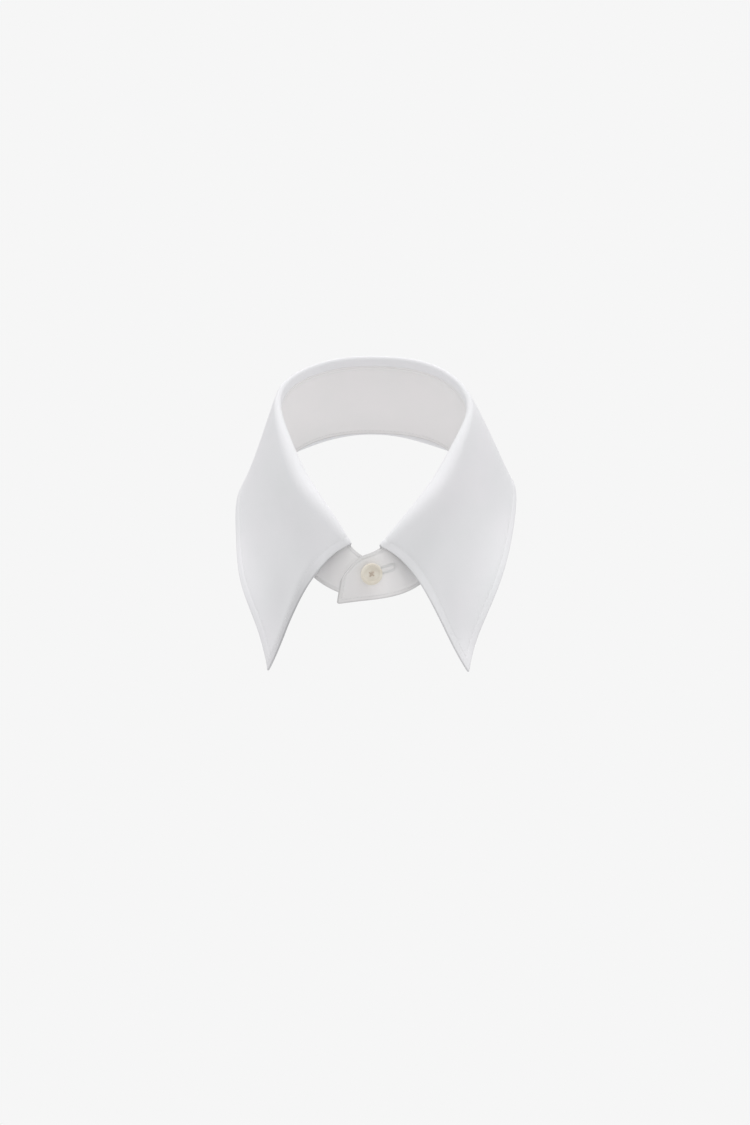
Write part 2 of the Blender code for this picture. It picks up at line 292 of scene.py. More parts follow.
def gridMesh(name, outer, inner, uv, edge, shade):
    # both faces of the cloth on one grid, meeting at the four edges, where they share vertices
    rows, cols = outer.shape[:2]
    count = rows * cols
    front = np.arange(count).reshape(rows, cols)
    back = front + count
    rim = np.ones((rows, cols), bool)
    rim[1:-1, 1:-1] = False
    back = np.where(rim, front, back)

    def quads(index):
        # each cell's four corners, in turn
        return np.stack([index[:-1, :-1], index[1:, :-1], index[1:, 1:], index[:-1, 1:]], axis=-1)

    faces = np.concatenate([quads(front).reshape(-1, 4), quads(back).reshape(-1, 4)[:, ::-1]])
    points = np.concatenate([outer.reshape(-1, 3), inner.reshape(-1, 3)])
    used, faces = np.unique(faces, return_inverse=True)
    faces = faces.reshape(-1, 4)
    flatUv = np.concatenate([uv.reshape(-1, 2), uv.reshape(-1, 2)])[used]
    # the outline layer: distance from the outline for the painted edge shade, and the painted light and
    # shade in per cent
    fromOutline = np.stack([edge, shade], axis=-1).reshape(-1, 2)
    fromOutline = np.concatenate([fromOutline, fromOutline])[used]
    return meshFrom(name, points[used], faces, {"cloth": flatUv, "outline": fromOutline})


def meshFrom(name, points, faces, uvLayers=None):
    # one foreach_set each for the points, the corners and where each face starts
    mesh = bpy.data.meshes.new(name)
    sides = faces.shape[1]
    mesh.vertices.add(len(points))
    mesh.vertices.foreach_set("co", (points * mm).astype(np.float32).ravel())
    mesh.loops.add(faces.size)
    mesh.loops.foreach_set("vertex_index", faces.astype(np.int32).ravel())
    mesh.polygons.add(len(faces))
    mesh.polygons.foreach_set("loop_start", np.arange(0, faces.size, sides, dtype=np.int32))
    for layerName, uv in (uvLayers or {}).items():
        layer = mesh.uv_layers.new(name=layerName)
        layer.data.foreach_set("uv", (uv[faces.ravel()] * mm).astype(np.float32).ravel())
    mesh.update(calc_edges=True)
    mesh.validate()
    mesh.shade_smooth()
    return mesh


def newPiece(name, mesh, material, nodes=()):
    # an object at the origin that rides with the part and stands for those nodes of the frame
    piece = bpy.data.objects.new(name, mesh)
    scene.collection.objects.link(piece)
    mesh.materials.append(material)
    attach(piece, "root")
    if nodes:
        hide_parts(*nodes)
    return piece


def tubes(paths, radii, normals, sides=6):
    # closed tubes: a ring of `sides` points, normal x cosine + side x sine, round each inner point
    # of each path, and one point at each end
    tangents = unit(np.gradient(paths, axis=1))
    normals = unit(normals - dot(normals, tangents) * tangents)
    beside = np.cross(tangents, normals)
    turn = np.linspace(0, 2 * math.pi, sides, endpoint=False)[:, None]
    inner = slice(1, -1)
    ring = (paths[:, inner, None] + radii[:, inner, None, None]
            * (np.cos(turn) * normals[:, inner, None] + np.sin(turn) * beside[:, inner, None]))
    count, rings = ring.shape[:2]
    points = np.concatenate([paths[:, 0], paths[:, -1], ring.reshape(-1, 3)])
    index = 2 * count + np.arange(count * rings * sides).reshape(count, rings, sides)
    following = np.roll(index, -1, axis=2)
    walls = np.stack([index[:, :-1], following[:, :-1], following[:, 1:], index[:, 1:]], axis=-1)
    start = np.broadcast_to(np.arange(count)[:, None], (count, sides))
    end = start + count
    startCap = np.stack([start, following[:, 0], index[:, 0]], axis=-1).reshape(-1, 3)
    endCap = np.stack([end, index[:, -1], following[:, -1]], axis=-1).reshape(-1, 3)
    wallsA = walls.reshape(-1, 4)[:, [0, 1, 2]]
    wallsB = walls.reshape(-1, 4)[:, [0, 2, 3]]
    return points, np.concatenate([wallsA, wallsB, startCap, endCap])


def joined(shapes):
    # several (points, faces) as one
    starts = np.cumsum([0] + [len(points) for points, faces in shapes])
    points = np.concatenate([points for points, faces in shapes])
    faces = np.concatenate([faces + start for (points, faces), start in zip(shapes, starts)])
    return points, faces


def distancesAlong(path):
    # how far along the polyline each of its points lies: running sum of the chords
    return np.concatenate([[0], np.linalg.norm(np.diff(path, axis=0), axis=1).cumsum()])


def stitchLine(path, normals):
    # a row of lockstitches: each a short thread that rises out of the cloth and dips in again,
    # its height a sine of its own length raised to 0.7, its radius thinner at both ends
    s = stitchSettings
    lengths = distancesAlong(path)
    count = int(lengths[-1] / s["pitch"])
    share = np.linspace(0, 1, s["steps"])
    pitch = lengths[-1] / count
    distances = np.arange(count)[:, None] * pitch + s["gap"] / 2 + share * (pitch - s["gap"])
    points, outward = (
        np.stack([np.interp(distances, lengths, values[:, axis]) for axis in range(3)], axis=-1)
        for values in (path, normals)
    )
    outward = unit(outward)
    arch = np.sin(math.pi * share)
    points = points + outward * (s["radius"] * (s["rise"] * arch**0.7 - 1.0))[None, :, None]
    radii = np.broadcast_to(s["radius"] * np.minimum(1, 0.45 + arch), distances.shape)
    return tubes(points, radii, outward)


def stitchLines(outer, inner, normals, corners):
    # a row of stitches on each face, along straight runs of the grid from corner to corner
    runs = []
    for start, end in zip(corners[:-1], corners[1:]):
        steps = np.abs(np.subtract(end, start)).max()
        runs.append(np.linspace(start, end, steps + 1)[:-1])
    rows, cols = np.concatenate([*runs, [corners[-1]]]).round().astype(int).T
    return [stitchLine(outer[rows, cols], normals[rows, cols]),
            stitchLine(inner[rows, cols], -normals[rows, cols])]


def paddedWall(middle, normals, fromOutline, alongEdge, settings, taper=1.0):
    # the two faces: half the wall, plus the padded strip, less the dip at the stitch line, which
    # gathers as a wavering sine along the edge, all closed to a half circle at the outline
    s = settings
    inset = s["inset"]
    stripOuter, stripInner = s["stripEase"]
    strip = smoothStep(0.2, stripOuter, fromOutline)
    strip = strip * (1 - smoothStep(inset - stripInner, inset, fromOutline))
    phase = alongEdge / s["gatherPitch"]
    gather = 0.5 + 0.5 * np.sin(2 * math.pi * phase + 1.7 * np.sin(phase * s["gatherWander"]))
    dip = bell(fromOutline - inset, s["stitchWidth"]) * (s["stitchDip"] + s["pucker"] * gather)
    gathers = s["pucker"] * (gather - 0.5) * bell(fromOutline - inset, s["gatherWidth"])
    half = (s["wall"] / 2 + s["puff"] * strip - dip) * rimShare(fromOutline, s["rim"]) * taper
    rim = np.ones((*half.shape, 1), bool)
    rim[1:-1, 1:-1] = False
    outer = np.where(rim, middle, middle + normals * (half + gathers)[..., None])
    inner = np.where(rim, middle, middle - normals * (half - gathers)[..., None])
    return outer, inner


leafSettings = {
    "wall": 1.15,          # two plies and the interlining
    "rim": 0.62,           # radius of the turned edge
    "inset": 4.2,          # topstitching from the edge
    "puff": 0.14,          # how far the turned-in seam allowance pads the edge strip, each face
    "stitchDip": 0.15,     # how deep the topstitching pulls in, each face
    "stitchWidth": 0.75,
    "tipRound": 1.2,
    "zone": 11.0,          # width of the finely divided strip along the edges
    "tuckIn": 1.8,         # how far the sewn edge reaches down inside the band
    "pucker": 0.03,
    "gatherPitch": 3.3,
    "gatherWander": 0.9,
    "gatherWidth": 2.4,
    "stripEase": (1.6, 1.2),   # how softly the padded strip starts and ends
    "curlWidth": 6.5,          # how far in from the front edge the curl reaches
    "sewnThinner": 0.35,       # how much of the wall the sewn edge loses inside the band
    "thinDrops": (-1.5, 0.5),
    "foldsFrom": (6, 24),      # folds start this far below the seam, and fade at the free edge
    "foldsTo": (2, 12),
    "spreadFrom": 0.6,         # above this drop the front edge runs as it does here
    "frontSteps": 22,
    "edgeSteps": 22,
    "alongSteps": 300,
    "fallSteps": 56,
    "foldSteps": 16,
}
# each front edge, by drop from the seam: how far it curls under (mm), and its painted tone (per cent): a
# painted lit strip along the left edge and a painted shade strip along the right one, which is whole as
# far in as the first width and gone at the second
frontEdges = {
    "left": {
        "curl": ((0, -0.2), (8, -0.7), (22, -0.8), (38, -0.2), (60, 0.4), (80, 0.3), (95, 0.1)),
        "paintedTones": ((0, 0), (14, 5), (34, 5), (60, 2), (100, 0)),
        "paintedWidths": (2.2, 4.6),
    },
    "right": {
        "curl": ((0, -0.2), (8, -0.7), (18, -0.3), (26, 1.2), (38, 2.6), (62, 2.4), (84, 1.0), (100, 0.2)),
        "paintedTones": ((0, 2), (22, 2), (34, -12), (46, -21), (70, -20), (84, -10), (92, -2)),
        "paintedWidths": (1.6, 6.6),
    },
}
# slow waves of the free edge, with a shorter ripple on them, as far in as `reach`
edgeWaves = {
    "height": 0.16, "length": 13.0, "wander": 0.8, "wanderLength": 31.0,
    "ripple": 0.08, "rippleLength": 7.3, "rippleStart": 1.1, "reach": 7.0, "fromSeam": (0, 20),
}
# the main creases: x along the cloth from the centre back, y down from the seam, all in mm
leafRidges = [
    {"x": 118, "y": 34, "length": 34, "width": 11, "slant": 62, "height": 0.5},
    {"x": 150, "y": 46, "length": 26, "width": 9, "slant": 70, "height": -0.4},
    {"x": -124, "y": 38, "length": 36, "width": 12, "slant": -64, "height": -0.5},
    {"x": -152, "y": 52, "length": 24, "width": 9, "slant": -72, "height": 0.35},
    {"x": 40, "y": 44, "length": 20, "width": 12, "slant": 80, "height": 0.3},
    {"x": -52, "y": 40, "length": 22, "width": 14, "slant": -84, "height": -0.3},
]

# painted light and shade on the leaf, in per cent of tone on the same humps: mostly greyer just below the
# fold and paler on the flared outer parts
leafPaintedShading = [
    {"x": 166, "y": 24, "length": 38, "width": 12, "slant": 0, "height": -6.0},
    {"x": -166, "y": 28, "length": 34, "width": 14, "slant": 0, "height": -5.0},
    {"x": 126, "y": 74, "length": 34, "width": 19, "slant": 0, "height": 9.0},
    {"x": -134, "y": 80, "length": 30, "width": 14, "slant": 0, "height": 9.0},
    {"x": 183, "y": 62, "length": 11, "width": 16, "slant": 0, "height": -3.5},
    {"x": -179, "y": 66, "length": 14, "width": 16, "slant": 0, "height": -5.0},
    {"x": 191, "y": 86, "length": 9, "width": 11, "slant": 0, "height": 8.0},
    {"x": -198, "y": 12, "length": 12, "width": 10, "slant": 0, "height": 3.0},
]


def frontSpread(side, drop):
    # how far the leaf runs back from its front edge, square to it, for each unit of along
    step = 1e-3
    ends = np.full_like(drop, side)
    away = (leafPoint(ends * (1 - step), drop) - leafPoint(ends, drop)) / step
    edge = unit(leafPoint(ends, drop + 0.5) - leafPoint(ends, drop - 0.5))
    return np.linalg.norm(np.cross(away, edge), axis=-1)


def edgeLean(along):
    # sine of the angle between the section and the outer edge where they meet
    step = 1e-3
    lengths = leafLength(along)
    before, after = np.clip(along - step, -1, 1), np.clip(along + step, -1, 1)
    edge = leafPoint(after, leafLength(after)) - leafPoint(before, leafLength(before))
    down = leafPoint(along, lengths) - leafPoint(along, lengths - 0.5)
    return np.linalg.norm(np.cross(unit(edge), unit(down)), axis=-1)


def leafGrid():
    # rows down the section, columns from the right front edge to the left one: the place along,
    # the drop from the seam, and the distances from the front edge and from the outer edge
    s = leafSettings
    fromFront = fromEdge(s, s["frontSteps"])
    fromOuter = fromEdge(s, s["edgeSteps"])[::-1]
    foldRows = np.linspace(0, 1, s["foldSteps"] + 1)[:, None]
    fallRows = np.linspace(0, 1, s["fallSteps"] + 1)[1:-1, None]
    foldLast = 1 + len(foldRows)
    outerStart = foldLast + len(fallRows)
    rowCount = outerStart + len(fromOuter)
    fold, fall, edge = slice(1, foldLast), slice(foldLast, outerStart), slice(outerStart, None)
    leans = edgeLean(tableAlong)

    def dropRows(along, outerDistance):
        # tucked in, then shares of the fold, shares of the fall, and back from the outer edge
        total = leafLength(along)
        foldEnd = np.interp(along, tableAlong, foldLengths)
        lean = np.interp(along, tableAlong, leans)
        last = total - s["zone"] / lean
        drop = np.full_like(along, -s["tuckIn"])
        drop[fold] = foldEnd[fold] * foldRows
        drop[fall] = last[fall] * fallRows + foldEnd[fall] * (1 - fallRows)
        drop[edge] = total[edge] - outerDistance / lean[edge]
        return drop

    outerB = np.full((rowCount, 1), farAway)
    outerB[edge, 0] = fromOuter
    columns = []
    for side in (-1, 1):
        drops = dropRows(np.full((rowCount, 1), float(side)), fromOuter[:, None])[:, 0]
        spread = frontSpread(side, np.maximum(drops, s["spreadFrom"]))[:, None]
        a = np.broadcast_to(fromFront, (rowCount, len(fromFront)))
        newA, newB = roundedCorner(a, np.broadcast_to(outerB, a.shape), s["tipRound"])
        columns.append((side * (1 - newA / spread), newA, newB))
    (rightAlong, rightA, rightB), (leftAlong, leftA, leftB) = columns
    shares = np.linspace(0, 1, s["alongSteps"] + 1)[1:-1]
    middle = rightAlong[:, -1:] + (leftAlong[:, -1:] - rightAlong[:, -1:]) * shares
    along = np.concatenate([rightAlong, middle, leftAlong[:, ::-1]], axis=1)
    a = np.concatenate([rightA, np.full_like(middle, farAway), leftA[:, ::-1]], axis=1)
    b = np.concatenate([rightB, np.broadcast_to(outerB, middle.shape), leftB[:, ::-1]], axis=1)
    insetColumn = int(np.abs(fromFront - s["inset"]).argmin())
    insetRow = outerStart + int(np.abs(fromOuter - s["inset"]).argmin())
    return along, dropRows(along, b[edge]), a, b, insetRow, insetColumn


def makeLeaf(material):
    # the sections' surface, lifted by creases, waves and curled front edges, given its two faces
    s = leafSettings
    along, drop, a, b, insetRow, insetColumn = leafGrid()
    middle = leafPoint(along, drop)
    normals = surfaceNormals(middle)
    fromOutline = edgeDistance(a, b, s["tipRound"])
    x = along * alongSpan

    # painted light and shade, in per cent, carried to the material in the outline layer
    shade = softRidges(x, drop, leafPaintedShading)
    lift = softRidges(x, drop, leafRidges) * smoothStep(*s["foldsFrom"], drop)
    lift *= smoothStep(*s["foldsTo"], b)
    for side, sign in (("left", 1), ("right", -1)):
        front = frontEdges[side]
        here = along * sign > 0
        near = np.clip(1 - a / s["curlWidth"], 0, 1) ** 2
        lift -= here * near * np.interp(drop, *np.transpose(front["curl"]))
        # painted light along the left front edge, painted shade along the right one
        near = 1 - smoothStep(*front["paintedWidths"], a)
        shade += here * near * np.interp(drop, *np.transpose(front["paintedTones"]))
    w = edgeWaves
    wave = w["height"] * np.sin(x / w["length"] + w["wander"] * np.sin(x / w["wanderLength"]))
    wave = wave + w["ripple"] * np.sin(x / w["rippleLength"] + w["rippleStart"])
    lift += wave * bell(b - 1.0, w["reach"]) * smoothStep(*w["fromSeam"], drop)
    middle = middle + normals * lift[..., None]
    normals = surfaceNormals(middle)

    taper = 1 - s["sewnThinner"] * (1 - smoothStep(*s["thinDrops"], drop))
    alongEdge = np.where(a < b, drop, x)
    outer, inner = paddedWall(middle, normals, fromOutline, alongEdge, s, taper)
    uv = np.stack([x, drop], axis=-1)
    mesh = gridMesh("leaf", outer, inner, uv, np.minimum(fromOutline, toneReach), shade)
    leaf = newPiece("leaf", mesh, material, ("collar_leaf",))
    # the front edges' stitching starts under the band's top edge, on the third row
    top, last = 2, along.shape[1] - 1 - insetColumn
    corners = ((top, insetColumn), (insetRow, insetColumn), (insetRow, last), (top, last))
    return stitchLines(outer, inner, normals, corners)


bandSettings = {
    "wall": 1.5,
    "rim": 0.75,
    "inset": 2.2,          # edge stitching from the free edges
    "puff": 0.10,
    "stitchDip": 0.20,
    "stitchWidth": 0.55,
    "endRound": 1.8,
    "zone": 7.0,
    "endSteps": 14,
    "edgeSteps": 14,
    "alongSteps": 380,
    "upSteps": 26,
    "pucker": 0.05,
    "gatherPitch": 3.1,
    "gatherWander": 0.8,
    "gatherWidth": 2.0,
    "stripEase": (0.9, 0.8),
    "endShare": 0.42,      # where the band is too short for both edge strips, each takes this share
    # sewnEdge, sewnUntil and sewnFades place the painted shade line along the band's top edge
    "sewnEdge": 1.3,       # under the leaf the edge's tones start this far in
    "sewnUntil": (0.96, 1.02),     # along, where the leaf ends and the free edge's tones begin
    "sewnFades": 0.77,
    "foldsFrom": (1, 8),
    "foldsTo": (0, 3),
    "sharpFrom": 50,       # degrees: the cut edges of the buttonhole stay sharp
}
bandRidges = [
    {"x": 78, "y": 30, "length": 11, "width": 2.2, "slant": 68, "height": 0.35},
    {"x": 84, "y": 26, "length": 9, "width": 2.0, "slant": 74, "height": -0.3},
    {"x": -30, "y": 20, "length": 20, "width": 14, "slant": 80, "height": 0.35},
    {"x": 26, "y": 22, "length": 18, "width": 12, "slant": -78, "height": -0.3},
]

# painted light and shade on the band, per cent: paler where the tabs lie in the leaves' shadow, greyer low
# at the back and at the over tab's end
bandPaintedShading = [
    {"x": -209, "y": 14, "length": 16, "width": 18, "slant": 0, "height": 12.0},
    {"x": 208, "y": 12, "length": 11, "width": 18, "slant": 0, "height": 9.0},
    {"x": 232, "y": 4, "length": 24, "width": 6, "slant": 0, "height": -4.0},
    {"x": 0, "y": 2, "length": 90, "width": 9, "slant": 0, "height": -4.0},
    {"x": -92, "y": 24, "length": 34, "width": 18, "slant": 0, "height": 3.0},
]


def endSpread(end, share):
    # how far the band runs back from its tab end, square to it, for each unit of along
    step = 1e-3
    ends = np.full_like(share, end)
    away = (bandPoint(ends * (1 - step), share) - bandPoint(ends, share)) / (abs(end) * step)
    edge = unit(bandPoint(ends, share + 0.01) - bandPoint(ends, share - 0.01))
    return np.linalg.norm(np.cross(away, edge), axis=-1)


def bandHeight(along):
    # straight from base to top
    rise = bandPoint(along, np.ones_like(along)) - bandPoint(along, np.zeros_like(along))
    return np.linalg.norm(rise, axis=-1)


def bandGrid():
    # rows from base to top, columns from the under tab's end to the over tab's: the place along,
    # the share of the height, and the distances from the ends, from the base and from the top
    s = bandSettings
    ends = bandTable[0, 0], bandTable[-1, 0]
    fromEnd = fromEdge(s, s["endSteps"])
    fromBase = fromEdge(s, s["edgeSteps"])
    fromTop = fromBase[::-1]
    upRows = np.linspace(0, 1, s["upSteps"] + 1)[1:-1, None]
    baseCount, topStart = len(fromBase), len(fromBase) + len(upRows)
    rowCount = topStart + len(fromTop)
    base, top = np.full((2, rowCount, 1), farAway)
    base[:baseCount, 0] = fromBase
    top[topStart:, 0] = fromTop

    def shareRows(along, b, c):
        # up from the base, even rows between, and down from the top; short tabs squeeze the strips
        height = bandHeight(along)
        squeeze = np.minimum(1, s["endShare"] * height / s["zone"])
        low = s["zone"] * squeeze / height
        share = np.empty_like(height)
        share[:baseCount] = (b * squeeze / height)[:baseCount]
        between = low[baseCount:topStart]
        share[baseCount:topStart] = (1 - between) * upRows + between * (1 - upRows)
        share[topStart:] = (1 - c * squeeze / height)[topStart:]
        return share, squeeze

    columns = []
    for end in ends:
        share, _ = shareRows(np.full((rowCount, 1), end), base, top)
        spread = endSpread(end, share[:, 0])[:, None]
        a = np.broadcast_to(fromEnd, (rowCount, len(fromEnd)))
        baseA, newBase = roundedCorner(a, np.broadcast_to(base, a.shape), s["endRound"])
        newA, newTop = roundedCorner(baseA, np.broadcast_to(top, a.shape), s["endRound"])
        columns.append((end * (1 - newA / spread / abs(end)), newA, newBase, newTop))
    (rightAlong, rightA, rightBase, rightTop), (leftAlong, leftA, leftBase, leftTop) = columns
    shares = np.linspace(0, 1, s["alongSteps"] + 1)[1:-1]
    middle = rightAlong[:, -1:] + (leftAlong[:, -1:] - rightAlong[:, -1:]) * shares
    shape = middle.shape
    along = np.concatenate([rightAlong, middle, leftAlong[:, ::-1]], axis=1)
    a = np.concatenate([rightA, np.full(shape, farAway), leftA[:, ::-1]], axis=1)
    b = np.concatenate([rightBase, np.broadcast_to(base, shape), leftBase[:, ::-1]], axis=1)
    c = np.concatenate([rightTop, np.broadcast_to(top, shape), leftTop[:, ::-1]], axis=1)
    share, squeeze = shareRows(along, b, c)
    b, c = (np.where(each < farAway, each * squeeze, each) for each in (b, c))
    insetColumn = int(np.abs(fromEnd - s["inset"]).argmin())
    insetRow = int(np.abs(fromBase - s["inset"]).argmin())
    return along, share, a, b, c, insetRow, insetColumn


def makeBand(material):
    # the wall's surface with its soft puckers, given its two faces and cut for the buttonhole
    s = bandSettings
    along, share, a, b, c, insetRow, insetColumn = bandGrid()
    middle = bandPoint(along, share)
    normals = -surfaceNormals(middle)
    x = along * alongSpan
    y = share * bandHeight(along)
    fromBase = edgeDistance(a, b, s["endRound"])
    fromTop = edgeDistance(a, c, s["endRound"])
    lift = softRidges(x, y, bandRidges) * smoothStep(*s["foldsFrom"], b)
    lift *= smoothStep(*s["foldsTo"], c)
    middle = middle + normals * lift[..., None]
    normals = -surfaceNormals(middle)
    alongEdge = np.where(a < np.minimum(b, c), y, x)
    outer, inner = paddedWall(middle, normals, np.minimum(fromBase, fromTop), alongEdge, s)
    # the painted shade line at the sewn top edge, under the leaf, is only faint
    sewn = s["sewnEdge"] * (1 - s["sewnFades"] * smoothStep(*s["sewnUntil"], np.abs(along)))
    freeEdge = np.minimum(np.minimum(fromBase, fromTop + sewn), toneReach)
    uv = np.stack([x, y], axis=-1)
    # the band's painted light and shade goes to the material with the distance for the painted edge line
    shell = gridMesh("band", inner, outer, uv, freeEdge, softRidges(x, y, bandPaintedShading))
    mesh = cutAway(shell, [slotCutter()])
    mesh.shade_smooth()
    mesh.set_sharp_from_angle(angle=math.radians(s["sharpFrom"]))
    band = newPiece("band", mesh, material, ("collar_band",))
    lastRow, lastColumn = along.shape[0] - 1 - insetRow, along.shape[1] - 1 - insetColumn
    corners = ((insetRow, insetColumn), (insetRow, lastColumn), (lastRow, lastColumn),
               (lastRow, insetColumn), (insetRow, insetColumn))
    return stitchLines(outer, inner, normals, corners)


buttonSettings = {
    "along": 1.064,        # where it sits on the over tab, and the share of the tab's height
    "share": 0.58,
    "diameter": 12.0,
    "thickness": 2.4,
    "dish": 0.62,          # height of the dished face, as a share of the thickness
    "lift": 1.2,           # shank between the tab and the button's back
    "holeRadius": 0.75,
    "holePitch": 2.6,
    "holeEase": 0.16,      # rounding at the mouth of each hole
    "turnSteps": 96,
    "profileSteps": 72,
    "drillSteps": 32,
    "drillPast": 1.0,      # how far the drills pass the face and the back
    "sharpFrom": 38,
    "tabHalf": 0.7,        # from the tab's middle to its outer face, as in the frame
}
threadSettings = {
    "strand": 0.16,        # radii: a strand, a cord of the shank, and the thread wound round it
    "cord": 0.2,
    "winding": 0.15,
    "steps": 28,
    "crossLifts": (0.20, 0.42),    # how high each pair of strands stands over the face
    "crossShifts": (-0.24, 0.0, 0.24),
    "coilRadius": 0.46,
    "coilTurns": 4,
    "coilSteps": 90,
    "tieShifts": (-0.22, 0.0, 0.22),
}
# half section from the middle of the dished face, over the rim, to the back: radius and height
buttonProfile = (
    (0.0, 0.62), (0.30, 0.62), (0.56, 0.63), (0.65, 0.70), (0.72, 0.86), (0.79, 0.97),
    (0.86, 1.0), (0.93, 0.96), (0.98, 0.86), (1.0, 0.70), (0.99, 0.50), (0.94, 0.30),
    (0.84, 0.12), (0.70, 0.02), (0.60, 0.0), (0.30, 0.0), (0.0, 0.0),
)
holeSettings = {
    "length": 14.5,
    "width": 1.8,
    "stitchPitch": 0.34,
    "stitchReach": 1.5,    # how far each stitch runs from the slit into the cloth
    "stitchRadius": 0.15,
    "cutReach": 1.6,       # the cutter runs this far out of both faces
    "cutSteps": 96,
    "knotRadius": 0.23,
    "knotOut": 0.14,       # where the knots lie, outside the slit
    "knotHeight": 1.22,    # and over the wall's middle, in half walls
    "knotHalf": 0.2,
}
# each stitch: how far from the slit, as a share of its reach, and how high, in half walls
stitchCourse = (
    (1.0, 0.8), (0.94, 1.12), (0.5, 1.24), (0.12, 1.30), (-0.04, 0.9), (-0.06, 0.0),
    (-0.04, -0.9), (0.12, -1.30), (0.5, -1.24), (0.94, -1.12), (1.0, -0.8),
)
# a knot's bead: how far along it, and how thick it is there
beadCourse = ((1.0, 0.3), (0.7, 0.8), (0.0, 1.0), (-0.7, 0.8), (-1.0, 0.3))


def buttonSeat():
    # the tab's middle under the button, its tangent, the way up and the way out
    seat = bandFrame(np.array([buttonSettings["along"]]), np.array([buttonSettings["share"]]))
    return [each[0] for each in seat]


def onTab(u, v):
    # the tab's middle surface and its way out, u along and v up from the seat: three Newton steps
    seat, tangent, up, _ = buttonSeat()
    along = np.full_like(u, buttonSettings["along"])
    share = np.full_like(u, buttonSettings["share"])
    step = 1e-4
    for _ in range(3):
        point = bandPoint(along, share)
        byAlong = (bandPoint(along + step, share) - point) / step
        byShare = (bandPoint(along, share + step) - point) / step
        missU, missV = u - (point - seat) @ tangent, v - (point - seat) @ up
        a, b, c, d = byAlong @ tangent, byShare @ tangent, byAlong @ up, byShare @ up
        scale = a * d - b * c
        along = along + (missU * d - missV * b) / scale
        share = share + (missV * a - missU * c) / scale
    point, _, _, out = bandFrame(along, share)
    return point, out


def cutAway(mesh, cutters):
    # the mesh less each cutter, by an exact Boolean, as a new mesh
    body = bpy.data.objects.new("body", mesh)
    scene.collection.objects.link(body)
    tools = [bpy.data.objects.new("tool", cutter) for cutter in cutters]
    for tool in tools:
        scene.collection.objects.link(tool)
        boolean = body.modifiers.new("cut", "BOOLEAN")
        boolean.operation = "DIFFERENCE"
        boolean.solver = "EXACT"
        boolean.object = tool
    bpy.context.view_layer.update()
    result = bpy.data.meshes.new_from_object(body.evaluated_get(bpy.context.evaluated_depsgraph_get()))
    for used in [body, *tools]:
        bpy.data.objects.remove(used)
    return result


def turnedMesh(name, radii, heights, steps, frameAt):
    # a closed surface of revolution: rings between one point on the axis at each end
    origin, axisX, axisY, axisZ = frameAt
    turn = np.linspace(0, 2 * math.pi, steps, endpoint=False)
    around = np.cos(turn)[:, None] * axisX + np.sin(turn)[:, None] * axisY
    rings = (origin + radii[1:-1, None, None] * around + heights[1:-1, None, None] * axisZ)
    poles = origin + heights[[0, -1], None] * axisZ
    points = np.concatenate([poles, rings.reshape(-1, 3)])
    index = 2 + np.arange(rings.shape[0] * steps).reshape(-1, steps)
    following = np.roll(index, -1, axis=1)
    upper = np.stack([index[:-1], following[1:], following[:-1]], axis=-1).reshape(-1, 3)
    lower = np.stack([index[:-1], index[1:], following[1:]], axis=-1).reshape(-1, 3)
    first = np.stack([np.zeros(steps, int), index[0], following[0]], axis=-1)
    last = np.stack([np.ones(steps, int), following[-1], index[-1]], axis=-1)
    return meshFrom(name, points, np.concatenate([first, upper, lower, last]))


def smoothPath(corners, count):
    # the corners joined by a spline over the length of the line through them
    rows = np.array(corners, float)
    lengths = distancesAlong(rows)
    return spline(np.column_stack([lengths, rows]), np.linspace(0, lengths[-1], count))


def makeButton(material):
    # the half section turned round the axis, less four drills: each is wider by `ease` times one
    # minus the sine of a quarter turn where it leaves the face and the back
    s = buttonSettings
    seat, tangent, up, out = buttonSeat()
    back = seat + out * (s["tabHalf"] + s["lift"])
    radii, heights = smoothPath(buttonProfile, s["profileSteps"]).T
    radii[[0, -1]] = 0
    body = turnedMesh("button", np.maximum(radii, 0) * s["diameter"] / 2, heights * s["thickness"],
                      s["turnSteps"], (back, tangent, up, out))
    face, ease, past = s["dish"] * s["thickness"], s["holeEase"], s["drillPast"]
    quarter = np.linspace(0, math.pi / 2, 6)
    flare = s["holeRadius"] + ease * (1 - np.sin(quarter))
    depth = ease * (1 - np.cos(quarter))
    drillRadii = np.concatenate([[0, flare[0]], flare, flare[::-1], [flare[0], 0]])
    drillHeights = np.concatenate([[face + past] * 2, face - depth, depth[::-1], [-past] * 2])
    drills = []
    for x in (-0.5, 0.5):
        for y in (-0.5, 0.5):
            at = back + (x * tangent + y * up) * s["holePitch"]
            axes = (at, tangent, up, out)
            drills.append(turnedMesh("drill", drillRadii, drillHeights, s["drillSteps"], axes))
    mesh = cutAway(body, drills)
    mesh.shade_smooth()
    mesh.set_sharp_from_angle(angle=math.radians(s["sharpFrom"]))
    newPiece("shirtButton", mesh, material, ("button",))
    print("button faces", len(mesh.polygons))


